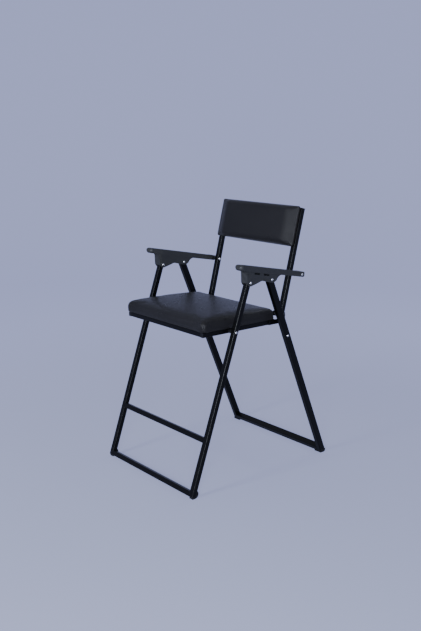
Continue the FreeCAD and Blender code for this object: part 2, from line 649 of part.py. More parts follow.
# Links: flat bars between the rear legs and the axle, each with a short rivet at its foot.
LINK_Y, LINK_Z = f"({LINK_F_Y})", "link_f_z"
LINK_LEN = f"sqrt((axle_y - {LINK_Y})^2 + (axle_z - link_f_z)^2)"
LINK = (LINK_Y, LINK_Z, f"atan(({LINK_Y} - axle_y) / (axle_z - link_f_z))")
LINK_LOW, LINK_HIGH = f"{INNER} - side_gap - link_t", f"{INNER} - side_gap"

for word, side in SIDES:
    name = f"link_{word}"
    body = doc.addObject("PartDesign::Body", name)
    sketch = plane_sketch(body, f"{name}_side", side_x(side, LINK_LOW, LINK_HIGH))
    half, length = value("link_w / 2"), value(LINK_LEN)
    outline(sketch, [(-half, 0), (-half, length), ((0, length + half), (half, length)),
                     (half, 0), ((0, -half), (-half, 0))])
    pad(body, sketch, f"{name}_bar", "link_t")
    holes = plane_sketch(body, f"{name}_holes", side_x(side, LINK_LOW, LINK_HIGH))
    for z, radius in ((0, "pin_r + pin_fit"), (length, "axle_r + pin_fit")):
        holes.addGeometry(Part.Circle(Vector(0, z, 0), Vector(0, 0, 1), value(radius)))
    pad(body, holes, f"{name}_drill", "link_t", subtract=True)
    publish(body, name, LINK)
    name = f"link_rivet_{word}"
    shank = rod(f"{name}_shank", side_x(side, LINK_LOW, LINK_HIGH), "0", "0", "pin_r", "link_t")
    publish(fuse(name, [shank, head(f"{name}_head", side, LINK_LOW, "0", "0", -1)]), name, LINK)

doc.recompute()

# Checks, then one STEP file for each sub-part.
for obj in doc.Objects:
    if "Invalid" in obj.State or "Error" in obj.State:
        raise RuntimeError(f"{obj.Label} failed: {obj.State}")
os.makedirs("parts", exist_ok=True)
for obj in nodes:
    shape = obj.Shape
    if shape.isNull() or not shape.isValid():
        raise RuntimeError(f"{obj.Label} has no valid shape")
    shape.exportStep(os.path.join("parts", f"{obj.Label}.step"))
    box_ = shape.BoundBox
    print(f"{obj.Label:20s} solids {len(shape.Solids)} volume {shape.Volume / 1000:9.2f} cm3 "
          f"z {box_.ZMin:8.2f} {box_.ZMax:8.2f}")
print(len(nodes), "sub-parts")
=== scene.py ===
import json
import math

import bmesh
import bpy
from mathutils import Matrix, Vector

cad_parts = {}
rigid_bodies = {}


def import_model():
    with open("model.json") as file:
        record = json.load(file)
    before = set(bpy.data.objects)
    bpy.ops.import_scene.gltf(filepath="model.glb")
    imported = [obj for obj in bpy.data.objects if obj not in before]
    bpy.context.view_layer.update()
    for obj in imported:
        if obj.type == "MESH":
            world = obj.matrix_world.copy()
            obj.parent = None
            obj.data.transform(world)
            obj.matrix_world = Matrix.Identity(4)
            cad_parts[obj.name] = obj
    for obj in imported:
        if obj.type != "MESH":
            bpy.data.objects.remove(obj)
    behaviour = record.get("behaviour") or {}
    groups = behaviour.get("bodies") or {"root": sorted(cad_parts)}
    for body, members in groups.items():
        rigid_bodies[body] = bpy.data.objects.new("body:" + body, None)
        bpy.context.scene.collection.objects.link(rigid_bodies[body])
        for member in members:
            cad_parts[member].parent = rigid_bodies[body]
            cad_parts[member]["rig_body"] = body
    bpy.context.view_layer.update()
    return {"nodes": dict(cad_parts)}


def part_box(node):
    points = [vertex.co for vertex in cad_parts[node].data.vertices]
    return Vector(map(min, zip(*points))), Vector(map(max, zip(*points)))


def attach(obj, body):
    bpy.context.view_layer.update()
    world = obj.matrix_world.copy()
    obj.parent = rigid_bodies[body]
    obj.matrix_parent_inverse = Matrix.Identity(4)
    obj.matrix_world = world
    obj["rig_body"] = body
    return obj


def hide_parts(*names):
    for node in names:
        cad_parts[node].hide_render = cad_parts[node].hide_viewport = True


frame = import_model()

# %% [markdown]
# # A folding bar stool, dressed for its portrait
# The frame is here already: steel tubes, moulded arms, a padded seat and a padded back, each on
# the body that it folds with. This lesson gives every piece its true edge, its finish and its
# softness.

MM = 0.001
SIDES = (("left", 1), ("right", -1))

# %% [markdown]
# ## Finishes
# A finish is a small node tree. Each one reads Object coordinates, so a pattern keeps its real size
# and stays on its piece when the stool folds. A surface is never one even value: a slow noise
# changes the gloss by a few hundredths, as handling does, and a fine one gives the grain.

# %% A start for every finish
SMOOTHER, ROUGHER = 0.03, 0.04


def finish(name, colour, roughness, metallic=0.0):
    """A material with its shader and a slow change of gloss."""
    material = bpy.data.materials.new(name)
    material.use_nodes = True
    tree = material.node_tree
    shader = tree.nodes["Principled BSDF"]
    shader.inputs["Base Color"].default_value = (*colour, 1)
    shader.inputs["Metallic"].default_value = metallic
    where = tree.nodes.new("ShaderNodeTexCoord")
    slow = tree.nodes.new("ShaderNodeTexNoise")
    slow.inputs["Scale"].default_value = 14
    slow.inputs["Detail"].default_value = 4
    spread = tree.nodes.new("ShaderNodeMapRange")
    spread.inputs["To Min"].default_value = roughness - SMOOTHER
    spread.inputs["To Max"].default_value = roughness + ROUGHER
    tree.links.new(where.outputs["Object"], slow.inputs["Vector"])
    tree.links.new(slow.outputs["Fac"], spread.inputs["Value"])
    tree.links.new(spread.outputs["Result"], shader.inputs["Roughness"])
    print("finish:", name, "roughness", roughness)
    return material, tree, shader, where


# %% [markdown]
# ### Bumps, noise and tones
# Three more helpers serve every finish. One turns a height into bumps of a real depth, one makes a
# noise of a given fineness, and one lets that noise move the colour a little. We use bumps, and not
# real geometry, because a grain of a tenth of a millimetre would need millions of faces.

# %% Grain, noise and tint
def grain(tree, shader, height, strength, depth):
    """Turn a height into bumps of a real depth."""
    bump = tree.nodes.new("ShaderNodeBump")
    bump.inputs["Strength"].default_value = strength
    bump.inputs["Distance"].default_value = depth
    tree.links.new(height, bump.inputs["Height"])
    tree.links.new(bump.outputs["Normal"], shader.inputs["Normal"])


def noise(tree, where, scale, detail=3.0, stretch=(1, 1, 1)):
    """A noise of a given scale, drawn out along an axis if stretch says so."""
    place = tree.nodes.new("ShaderNodeMapping")
    place.inputs["Scale"].default_value = stretch
    texture = tree.nodes.new("ShaderNodeTexNoise")
    texture.inputs["Scale"].default_value = scale
    texture.inputs["Detail"].default_value = detail
    tree.links.new(where.outputs["Object"], place.inputs["Vector"])
    tree.links.new(place.outputs["Vector"], texture.inputs["Vector"])
    return texture.outputs["Fac"]


def tint(tree, shader, fac, dark, light):
    """Let a value from 0 to 1 move the colour between two near tones."""
    ramp = tree.nodes.new("ShaderNodeValToRGB")
    ramp.color_ramp.elements[0].color = (*dark, 1)
    ramp.color_ramp.elements[1].color = (*light, 1)
    tree.links.new(fac, ramp.inputs["Fac"])
    tree.links.new(ramp.outputs["Color"], shader.inputs["Base Color"])


print("helpers:", grain.__name__, noise.__name__, tint.__name__)

# %% [markdown]
# ### Powder coat
# The tubes are coated with black powder that is baked until it flows. It has a soft gloss and a
# very fine orange peel, so a window reflects as a soft streak along each rounded corner. Paint this
# black sends back almost nothing else, so its base colour and its specular level are both low.

# %% Powder coat
COAT, tree, shader, where = finish("Powder coat", (0.0007, 0.0007, 0.0008), 0.34)
grain(tree, shader, noise(tree, where, 700, 2), 0.012, 0.4 * MM)
tint(tree, shader, noise(tree, where, 30), (0.0005, 0.0005, 0.0005), (0.001, 0.001, 0.0011))
shader.inputs["Specular IOR Level"].default_value = 0.12

# %% [markdown]
# ### Arm plastic
# The arms are moulded in dark grey plastic. The mould was etched, so the skin is matte with a fine
# pebble grain, and it is a tone lighter than the tubes. Voronoi cells a millimetre wide are closer
# to etched pebbles than a noise is, because each pebble has its own rim.

# %% Arm plastic
ARM_PLASTIC, tree, shader, where = finish("Arm plastic", (0.019, 0.021, 0.026), 0.5)
pebble = tree.nodes.new("ShaderNodeTexVoronoi")
pebble.inputs["Scale"].default_value = 900
tree.links.new(where.outputs["Object"], pebble.inputs["Vector"])
grain(tree, shader, pebble.outputs["Distance"], 0.25, 0.4 * MM)
tint(tree, shader, noise(tree, where, 60), (0.0090, 0.0094, 0.0100), (0.0134, 0.0138, 0.0146))
shader.inputs["Specular IOR Level"].default_value = 0.22

# %% [markdown]
# ### Small plastic parts, bare steel, black steel and plywood
# Feet, plugs and spacers are smooth black plastic. Rivets and screws are zinc-plated steel, and
# their fine lines run round. The hinge axle is blackened. The boards are stained plywood, with its
# grain along the width. Lines and grain are the same noise, drawn out along one axis.

# %% Small finishes
BLACK, tree, shader, where = finish("Black plastic", (0.003, 0.003, 0.0034), 0.42)
grain(tree, shader, noise(tree, where, 500), 0.1, 0.4 * MM)
shader.inputs["Specular IOR Level"].default_value = 0.15

ZINC, tree, shader, where = finish("Zinc plate", (0.72, 0.72, 0.74), 0.3, 1.0)
grain(tree, shader, noise(tree, where, 400, 3, (8, 1, 1)), 0.15, 0.3 * MM)
tint(tree, shader, noise(tree, where, 220), (0.44, 0.44, 0.46), (0.64, 0.64, 0.65))

IRON, tree, shader, where = finish("Black steel", (0.02, 0.02, 0.021), 0.38, 0.6)
grain(tree, shader, noise(tree, where, 300, 3, (10, 1, 1)), 0.12, 0.3 * MM)

PLY, tree, shader, where = finish("Stained plywood", (0.016, 0.014, 0.013), 0.6)
fibres = noise(tree, where, 60, 6, (0.15, 6, 6))
grain(tree, shader, fibres, 0.35, 0.8 * MM)
tint(tree, shader, fibres, (0.008, 0.007, 0.007), (0.018, 0.016, 0.015))
shader.inputs["Specular IOR Level"].default_value = 0.2

# %% [markdown]
# ### Vinyl
# Seat and back are covered in soft black vinyl. Its grain is a net of shallow creases with small
# domes between them, about a millimetre across. Voronoi's distance to edge draws the creases, a
# noise bends them, and a trace of sheen keeps the far edges from going dead.

# %% Vinyl
BEND = 1.2 * MM
CREASE = 0.28

VINYL, tree, shader, where = finish("Vinyl", (0.0066, 0.0064, 0.0069), 0.28)
bend = tree.nodes.new("ShaderNodeTexNoise")
bend.inputs["Scale"].default_value = 180
bend.inputs["Detail"].default_value = 2
tree.links.new(where.outputs["Object"], bend.inputs["Vector"])
bent = tree.nodes.new("ShaderNodeVectorMath")
bent.operation = "MULTIPLY_ADD"
bent.inputs[1].default_value = (BEND, BEND, BEND)
tree.links.new(bend.outputs["Color"], bent.inputs[0])
tree.links.new(where.outputs["Object"], bent.inputs[2])
cells = tree.nodes.new("ShaderNodeTexVoronoi")
cells.feature = "DISTANCE_TO_EDGE"
cells.inputs["Scale"].default_value = 620
tree.links.new(bent.outputs["Vector"], cells.inputs["Vector"])
dome = tree.nodes.new("ShaderNodeMapRange")
dome.inputs["From Max"].default_value = CREASE
tree.links.new(cells.outputs["Distance"], dome.inputs["Value"])
grain(tree, shader, dome.outputs["Result"], 0.45, 0.5 * MM)
tint(tree, shader, noise(tree, where, 9, 5), (0.0053, 0.0051, 0.0055), (0.0078, 0.0075, 0.0081))
shader.inputs["Specular IOR Level"].default_value = 0.075
shader.inputs["Sheen Weight"].default_value = 0.01
shader.inputs["Sheen Roughness"].default_value = 0.45

# %% [markdown]
# ## From a sharp solid to a finished piece
# A solid from the model has razor edges, and a real one never does. Rolled tube has a corner
# radius, plate is tumbled, plastic is moulded with a draft. So each piece starts as a merged copy
# of its solid, whose flat faces are joined again, and its outer edges are bevelled. Only edges that
# turn outwards count. The bevel is where the light of a window shows, as a thin line along the
# tube.


def settle(name, bm, node, material, bend_angle=35):
    """Make a mesh piece that stands for a node, rides with it and shades smoothly."""
    mesh = bpy.data.meshes.new(name)
    bm.to_mesh(mesh)
    bm.free()
    mesh.materials.clear()
    mesh.materials.append(material)
    mesh.polygons.foreach_set("use_smooth", [True] * len(mesh.polygons))
    mesh.set_sharp_from_angle(angle=math.radians(bend_angle))
    piece = bpy.data.objects.new(name, mesh)
    bpy.context.scene.collection.objects.link(piece)
    weight = piece.modifiers.new("Even normals", "WEIGHTED_NORMAL")
    weight.keep_sharp = True
    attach(piece, frame["nodes"][node]["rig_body"])
    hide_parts(node)
    return piece


def merged(node):
    """A copy of a node's mesh, its loose triangles joined into whole faces again."""
    bm = bmesh.new()
    bm.from_mesh(frame["nodes"][node].data)
    bmesh.ops.remove_doubles(bm, verts=bm.verts[:], dist=0.002 * MM)
    bmesh.ops.dissolve_limit(bm, angle_limit=math.radians(0.6), verts=bm.verts[:],
                             edges=bm.edges[:])
    return bm


def outer_edges(bm, turn, shortest=0.0):
    """Edges that turn outwards by more than an angle and are longer than a length."""
    return [e for e in bm.edges if len(e.link_faces) == 2 and e.calc_length() > shortest
            and e.calc_face_angle_signed(0.0) > math.radians(turn)]


def soften(bm, edges, width, segments=3):
    """Round a set of edges."""
    bmesh.ops.bevel(bm, geom=edges, offset=width, offset_type="OFFSET", segments=segments,
                    profile=0.5, affect="EDGES", clamp_overlap=True, material=-1)


# %% [markdown]
# ## The tubes
# The legs, bars, posts and seat rails are steel tube, square or oblong. Its corners have a radius
# of nearly three millimetres. The long edges get it, and the rims of the holes, hidden under the
# rivets, don't. A bevel in bmesh does this once, and leaves no modifier behind.

# %% Tubes
TUBE_RADIUS = 2.8 * MM
LONG_EDGE = 60 * MM
TUBES = [f"{kind}_{word}" for kind in ("front_leg", "rear_leg", "back_post", "seat_rail")
         for word, _ in SIDES]
TUBES += ["footrest_bar", "front_floor_bar", "rear_floor_bar", "seat_rail_front", "seat_rail_back"]
for node in TUBES:
    bm = merged(node)
    soften(bm, outer_edges(bm, 60, LONG_EDGE), TUBE_RADIUS, 4)
    settle(f"tube_{node}", bm, node, COAT)
print("tubes:", len(TUBES))

# %% [markdown]
# ## Plates, feet, plugs and spacers
# Small parts get a smaller edge. One loop does them, with a width of its own for each kind. A front
# foot is a plug in the leg's end with a round heel behind it. From the front only the tube shows,
# so the foot's mesh is drawn in until its sides and front lie inside the leg's outline.

# %% Small parts
PIN_Y, TOE_Y, PIN_Z = 110.8, 397, 871
LEG_SLOPE = (TOE_Y - PIN_Y) / PIN_Z
FOOT_NARROWING = 0.875
FOOT_SETBACK = 1 * MM


def behind_leg(bm, leg):
    """Draw a foot in, so that its front stays inside the leg's outline, carried to the floor."""
    toe = min((v.co for v in frame["nodes"][leg].data.vertices), key=lambda co: co.y).copy()
    low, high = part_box(leg)
    toe.x = (low.x + high.x) / 2
    for v in bm.verts:
        v.co.y = max(v.co.y, toe.y + FOOT_SETBACK + LEG_SLOPE * (v.co.z - toe.z))
        v.co.x = toe.x + (v.co.x - toe.x) * FOOT_NARROWING


IN_PAIRS = {"back_clevis": (COAT, 0.5), "seat_ear": (COAT, 0.7), "link": (COAT, 0.7),
            "post_caps": (BLACK, 0.7), "front_foot": (BLACK, 1.6), "rear_foot": (BLACK, 1.6),
            "seat_spacer": (BLACK, 0.8), "back_spacer": (BLACK, 0.8), "arm_bushes": (BLACK, 0.4),
            "axle_nut": (IRON, 0.9)}
SINGLE = {"rail_plugs": (BLACK, 0.6), "seat_board": (PLY, 1.2), "back_board": (PLY, 1.0),
          "hinge_axle": (IRON, 0.6)}
SMALL = {f"{kind}_{word}": look for kind, look in IN_PAIRS.items() for word, _ in SIDES} | SINGLE
for node, (material, width) in SMALL.items():
    bm = merged(node)
    if node.startswith("front_foot"):
        behind_leg(bm, node.replace("foot", "leg"))
    soften(bm, outer_edges(bm, 50), width * MM)
    settle(f"part_{node}", bm, node, material)
print("small parts:", len(SMALL))

# %% [markdown]
# ## Rivets, bolts and screws
# A rivet is a turned part: one outline, spun round its axis. Its head is a low dome with a small
# dimple where the tool pressed it. The shank is part of the same outline, so each rivet is whole
# and passes through its tubes. All of them lie across the stool, along X.

# %% Turned parts
HEAD_RADIUS, HEAD_HEIGHT, SHANK_RADIUS = 5.7 * MM, 2.2 * MM, 4 * MM
# The head's outline from the dimple to the rim, each point as shares of its radius and height.
HEAD_SHAPE = ((0, 0.62), (0.22, 0.62), (0.3, 0.97), (0.55, 0.9), (0.82, 0.55), (0.97, 0.2), (1, 0))


def head_outline(end, inward):
    """The head at one end of a rivet. inward is 1 or -1, the way from that end into the rivet."""
    return [(end + inward * HEAD_HEIGHT * (1 - tall), HEAD_RADIUS * wide)
            for wide, tall in HEAD_SHAPE] + [(end + inward * HEAD_HEIGHT, SHANK_RADIUS)]


def turned(node, heads):
    """Spin a rivet's outline. heads says which of its two ends has a head: low, high or both."""
    low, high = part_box(node)
    middle = (low + high) / 2
    first = head_outline(low.x, 1) if "low" in heads else [(low.x, 0), (low.x, SHANK_RADIUS)]
    last = head_outline(high.x, -1) if "high" in heads else [(high.x, 0), (high.x, SHANK_RADIUS)]
    bm = bmesh.new()
    verts = [bm.verts.new((along, middle.y + radius, middle.z))
             for along, radius in first + last[::-1]]
    edges = [bm.edges.new(pair) for pair in zip(verts, verts[1:])]
    bmesh.ops.spin(bm, geom=verts + edges, cent=middle, axis=(1, 0, 0), angle=2 * math.pi, steps=32,
                   use_merge=True)
    bmesh.ops.remove_doubles(bm, verts=bm.verts[:], dist=0.01 * MM)
    bmesh.ops.recalc_face_normals(bm, faces=bm.faces[:])
    settle(f"turned_{node}", bm, node, ZINC, 50)


# Which ends of the left-hand rivet have a head. Its mirror twin has them the other way round.
HEADS = {"seat_rivet": ("high",), "leg_rivet": ("high",), "arm_front_pin": ("low", "high"),
         "arm_rear_pin": ("low", "high"), "back_bolt": ("low", "high"), "seat_bolt": ("low",),
         "link_rivet": ("low",)}
MIRRORED = {"low": "high", "high": "low"}
for kind, heads in HEADS.items():
    for word, side in SIDES:
        turned(f"{kind}_{word}", heads if side > 0 else tuple(MIRRORED[end] for end in heads))
bm = merged("back_screws")
soften(bm, outer_edges(bm, 50), 0.5 * MM, 2)
settle("part_back_screws", bm, "back_screws", ZINC)
print("turned parts:", 2 * len(HEADS), "and the back's screws")

# %% [markdown]
# ## The arms
# Each arm is one moulding: a broad band on top for the forearm, two webs below it that hold the
# legs, and a flat strap that runs back to the post. The band's top rises forwards by 18 parts in a
# hundred. All round that top runs an edge of 3 mm, for comfort, and every other edge is only broken
# by a millimetre. So there are two bevels: first the rim of the top, then what is left.

# %% Where an arm's top lies
ARM_RISE = 0.18
NEAR_TOP = 1.5 * MM


def above_top(co, top):
    """How far a point lies above the arm's sloping top, which has the height top where y is 0."""
    return co.z + ARM_RISE * co.y - top


def rim_of_top(bm, top):
    """The outer edges that lie in the arm's sloping top."""
    return [e for e in outer_edges(bm, 30)
            if all(abs(above_top(v.co, top)) < NEAR_TOP for v in e.verts)]


print("the top rises by", ARM_RISE)

# %% [markdown]
# ### The strap's end and the nose
# Behind its rivet the strap ends squarish with soft corners. We push the round end's points out to
# a curve between a circle and a square. The band's front is a bull nose: its wall is cut into level
# rows, and the rows near the top and the bottom are drawn in along a half circle.

# %% Two ends of an arm
END_LENGTH, END_HALF_HEIGHT, END_POWER = 14 * MM, 11 * MM, 5
NOSE_INSET, NOSE_THICK, NOSE_REACH, NOSE_FADE = 9 * MM, 23.6 * MM, 20 * MM, 25 * MM
NOSE_ROWS = (-0.92, -0.75, -0.5, -0.2, 0.2, 0.5, 0.75, 0.92)


def square_end(bm, centre):
    """Fill out the strap's round end behind its rivet."""
    for v in bm.verts:
        y, z = v.co.y - centre.y, v.co.z - centre.z
        reach = math.hypot(y, z)
        if y > -1 * MM and reach > 8 * MM:
            long_share = (abs(y) / reach / END_LENGTH) ** END_POWER
            high_share = (abs(z) / reach / END_HALF_HEIGHT) ** END_POWER
            wanted = (long_share + high_share) ** (-1 / END_POWER)
            v.co.y, v.co.z = centre.y + y / reach * wanted, centre.z + z / reach * wanted


def bull_nose(bm, top):
    """Cut level rows into the wall of the band's front, and draw top and bottom rows in."""
    front = min(v.co.y for v in bm.verts)
    nose = [v for v in bm.verts if v.co.y < front + NOSE_REACH]
    spine = sum(v.co.x for v in nose) / len(nose)
    back = front + NOSE_REACH + NOSE_FADE
    for row in NOSE_ROWS:
        zone = [f for f in bm.faces if all(v.co.y < back for v in f.verts)]
        corners = list({v for f in zone for v in f.verts})
        sides = list({e for f in zone for e in f.edges})
        bmesh.ops.bisect_plane(bm, geom=corners + sides + zone, dist=0.001 * MM,
                               plane_co=(0, 0, top - NOSE_THICK / 2 * (1 - row)),
                               plane_no=(0, ARM_RISE, 1))
    for v in bm.verts:
        share = min(1.0, (back - v.co.y) / NOSE_FADE)
        if share > 0:
            height = above_top(v.co, top) / (NOSE_THICK / 2) + 1
            step = NOSE_INSET * share * (1 - math.sqrt(1 - min(1, abs(height)) ** 2))
            inward = Vector((spine - v.co.x, max(0.0, front + NOSE_REACH - v.co.y), 0))
            if inward.length > 0.001 * MM:
                inward = inward.normalized() * min(step, inward.length)
                v.co += inward + Vector((0, 0, -ARM_RISE * inward.y))


for word, _ in SIDES:
    bm = merged(f"armrest_{word}")
    top = max(v.co.z + ARM_RISE * v.co.y for v in bm.verts)
    pin_low, pin_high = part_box(f"back_bolt_{word}")
    square_end(bm, (pin_low + pin_high) / 2)
    rim = rim_of_top(bm, top)
    soften(bm, rim, 3 * MM, 4)
    soften(bm, outer_edges(bm, 45), 1.2 * MM, 2)
    bull_nose(bm, top)
    settle(f"arm_{word}", bm, f"armrest_{word}", ARM_PLASTIC, 40)
    print("arm", word, "rim edges", len(rim), "top at y 0:", round(top, 4))

# %% [markdown]
# ## The cushions
# Seat and back are foam on a board, wrapped in vinyl. The wrap pulls the foam into a pillow: tight
# at the board, full in the middle, with a tuck at each corner. We let cloth find that shape, for a
# hand-drawn crown never pulls in between its corners by itself. Cloth needs small even faces, so a
# plain block is remeshed first.

# %% An even block
def even_block(name, bm, voxel):
    """Remesh a closed block into small even faces, and hand back the mesh."""
    mesh = bpy.data.meshes.new(f"{name}_block")
    bm.to_mesh(mesh)
    bm.free()
    blank = bpy.data.objects.new(f"{name}_block", mesh)
    bpy.context.scene.collection.objects.link(blank)
    even = blank.modifiers.new("Even faces", "REMESH")
    even.mode = "VOXEL"
    even.voxel_size = voxel
    graph = bpy.context.evaluated_depsgraph_get()
    start = bpy.data.meshes.new_from_object(blank.evaluated_get(graph))
    bpy.data.objects.remove(blank)
    print(name, "block:", len(start.vertices), "points")
    return start


# %% [markdown]
# ### Filled with air
# The rows at the board are held, and pressure fills the rest. There is no gravity and no collision,
# so a few frames are enough. Each point's way is then capped by a curve that never passes the cap,
# and the result is written into the mesh, so the pad stays as it is when the stool folds.

# %% A pad that is blown up a little
PRESSURE = 4
FRAMES = 16
SMOOTHINGS = 3


def cloth_steps(name, mesh, held):
    """Blow a mesh up as cloth, with the held points fixed, and say how far each point moved."""
    pad = bpy.data.objects.new(f"{name}_cloth", mesh)
    bpy.context.scene.collection.objects.link(pad)
    pad.vertex_groups.new(name="board").add(held, 1.0, "REPLACE")
    cloth = pad.modifiers.new("Cloth", "CLOTH")
    cloth.settings.quality = 5
    cloth.settings.mass = 0.3
    cloth.settings.tension_stiffness = 14
    cloth.settings.compression_stiffness = 14
    cloth.settings.shear_stiffness = 6
    cloth.settings.bending_stiffness = 2
    cloth.settings.use_pressure = True
    cloth.settings.uniform_pressure_force = PRESSURE
    cloth.settings.vertex_group_mass = "board"
    cloth.settings.effector_weights.gravity = 0
    cloth.collision_settings.use_collision = False
    for number in range(1, FRAMES + 1):
        bpy.context.scene.frame_set(number)
    filled = pad.evaluated_get(bpy.context.evaluated_depsgraph_get())
    steps = [new.co - old.co for old, new in zip(mesh.vertices, filled.to_mesh().vertices)]
    filled.to_mesh_clear()
    bpy.context.scene.frame_set(1)
    bpy.data.objects.remove(pad)
    print(name, "largest swelling", round(max(step.length for step in steps), 4))
    return steps


def swollen(name, bm, voxel, cap, held_below, depth_of):
    """Fill a block with air. depth_of gives a point's distance from the board."""
    mesh = even_block(name, bm, voxel)
    held = [v.index for v in mesh.vertices if depth_of(v.co) < held_below]
    for v, step in zip(mesh.vertices, cloth_steps(name, mesh, held)):
        v.co += step * (cap / (cap + step.length))
    bm = bmesh.new()
    bm.from_mesh(mesh)
    loose = [v for v in bm.verts if depth_of(v.co) > held_below]
    for _ in range(SMOOTHINGS):
        bmesh.ops.smooth_vert(bm, verts=loose, factor=0.5, use_axis_x=True, use_axis_y=True,
                              use_axis_z=True)
    return bm


def skin(piece):
    """One smooth step over the cushion's faces, and the foam's softness."""
    smooth = piece.modifiers.new("Smooth skin", "SUBSURF")
    smooth.levels = smooth.render_levels = 1
    print(piece.name, [round(c, 4) for c in piece.dimensions])


# %% [markdown]
# ### The seat
# The vinyl goes down over the board's edge and is stapled underneath. So the block is the foam and
# the room that the board takes up in it. The front and the sides bulge, most at half height. At the
# two front corners the cover is folded, and the fold stands as a soft ridge.

# %% Seat cushion
ROOM_HEIGHT, ROOM_LIFT, ROOM_OVERLAP = 12 * MM, 0.4 * MM, 1.002
BULGE_LEAST, BULGE_MORE, BULGE_HEIGHT = 1.5 * MM, 4 * MM, 52 * MM
RIDGE, RIDGE_FROM, BULGE_FROM = 5 * MM, 0.75, 0.85
LIP_HEIGHT, LIP_DROP = 3 * MM, 1.4 * MM

low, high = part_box("seat_cushion")
board_low, board_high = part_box("seat_board")
bm = merged("seat_cushion")
room = Vector((board_high.x - board_low.x, board_high.y - board_low.y, ROOM_HEIGHT))
centre = Vector(((low.x + high.x) / 2, (board_low.y + board_high.y) / 2,
                 low.z + ROOM_LIFT + room.z / 2))
room_shape = Matrix.Translation(centre) @ Matrix.Diagonal((*(room * ROOM_OVERLAP), 1))
bmesh.ops.create_cube(bm, size=1, matrix=room_shape)
bm = swollen("seat", bm, 5 * MM, 5 * MM, 9 * MM, lambda p: p.z - low.z)
for v in bm.verts:
    height = max(0.0, v.co.z - low.z)
    share_x, share_y = v.co.x / high.x, (v.co.y - centre.y) / (high.y - centre.y)
    side = max(abs(share_x), abs(share_y))
    if side > BULGE_FROM:
        bulge = BULGE_LEAST + BULGE_MORE * math.sin(math.pi * min(1, height / BULGE_HEIGHT))
        bulge += RIDGE * max(0.0, abs(share_x * share_y) - RIDGE_FROM) / (1 - RIDGE_FROM)
        bulge *= (side - BULGE_FROM) / (1 - BULGE_FROM) * min(1, max(0.0, 0.8 - share_y))
        v.co.x += share_x * bulge
        v.co.y += share_y * bulge
    if height < LIP_HEIGHT:
        v.co.z -= LIP_DROP
skin(settle("seat_pad", bm, "seat_cushion", VINYL, 180))

# %% [markdown]
# ### The back
# The back leans by 13.44 degrees about the pivots of its posts, so its depth is measured along the
# leaning direction. Its edges stay thin and its middle stands forward, like a flat pillow. The
# cover also reaches a little past the foam: 1.5 mm at the top, 5 mm at the bottom and 3.5 mm a
# side.

# %% Back pad
LEAN = math.radians(13.44)
PIVOT = Vector((0, 190.6 * MM, 875 * MM))
FORWARD = Vector((0, -math.cos(LEAN), math.sin(LEAN)))
ALONG = Vector((0, math.sin(LEAN), math.cos(LEAN)))
PAD_BACK = 17 * MM
EDGE_DEPTH, CROWN = 5 * MM, 0.62
SIDE_EASE, RIM_EASE, RIM_START = 64 * MM, 18 * MM, 0.55
TOP_REACH, BOTTOM_REACH, WIDENING = 1.5 * MM, 5 * MM, 246 / 242.5


def pad_depth(p):
    """How far a point stands forward of the pad's back."""
    return (p - PIVOT).dot(FORWARD) - PAD_BACK


def ease(t):
    """A smooth step from 0 to 1."""
    t = max(0.0, min(1.0, t))
    return t * t * (3 - 2 * t)


bm = merged("back_pad")
half = max(abs(v.co.x) for v in bm.verts)
heights = [(v.co - PIVOT).dot(ALONG) for v in bm.verts]
middle, tall = (min(heights) + max(heights)) / 2, (max(heights) - min(heights)) / 2
print("back pad thickness", round(max(pad_depth(v.co) for v in bm.verts), 4))
bm = swollen("back", bm, 4.5 * MM, 3 * MM, 6 * MM, pad_depth)
for v in bm.verts:
    depth = pad_depth(v.co)
    if depth > EDGE_DEPTH:
        from_side = half - abs(v.co.x)
        from_rim = tall - abs((v.co - PIVOT).dot(ALONG) - middle)
        crown = ease(from_side / SIDE_EASE) * ease(RIM_START + from_rim / RIM_EASE)
        v.co -= FORWARD * (depth - EDGE_DEPTH) * CROWN * (1 - crown)
    share = ((v.co - PIVOT).dot(ALONG) - middle) / tall
    v.co += ALONG * share * (TOP_REACH if share > 0 else BOTTOM_REACH)
    v.co.x *= WIDENING
skin(settle("back_rest_pad", bm, "back_pad", VINYL, 180))

# %% [markdown]
# ## Studio
# The stool stands on a pale floor that sweeps up into a wall all round, so no horizon shows. One
# outline, a flat, a quarter circle and a wall, is spun about the middle. The paper is lit evenly
# from outside, which a little light of its own stands for. Under the stool that light is a shade
# weaker than at the wall, so the tone follows the distance from the middle.

# %% The paper
pale = bpy.data.materials.new("Studio floor")
pale.use_nodes = True
tree = pale.node_tree
shader = tree.nodes["Principled BSDF"]
shader.inputs["Base Color"].default_value = (0.1, 0.104, 0.115, 1)
shader.inputs["Roughness"].default_value = 0.8
shader.inputs["Specular IOR Level"].default_value = 0.08
where = tree.nodes.new("ShaderNodeTexCoord")
level = tree.nodes.new("ShaderNodeMapping")
level.inputs["Scale"].default_value = (1, 1, 0)
away = tree.nodes.new("ShaderNodeVectorMath")
away.operation = "LENGTH"
reach = tree.nodes.new("ShaderNodeMapRange")
reach.interpolation_type = "SMOOTHSTEP"
reach.inputs["From Min"].default_value = 0.5
reach.inputs["From Max"].default_value = 3.2
ramp = tree.nodes.new("ShaderNodeValToRGB")
ramp.color_ramp.elements[0].color = (0.262, 0.288, 0.5, 1)
ramp.color_ramp.elements[1].color = (0.31, 0.341, 0.6, 1)
tree.links.new(where.outputs["Object"], level.inputs["Vector"])
tree.links.new(level.outputs["Vector"], away.inputs[0])
tree.links.new(away.outputs["Value"], reach.inputs["Value"])
tree.links.new(reach.outputs["Result"], ramp.inputs["Fac"])
tree.links.new(ramp.outputs["Color"], shader.inputs["Emission Color"])
shader.inputs["Emission Strength"].default_value = 1.0
print("paper:", pale.name)

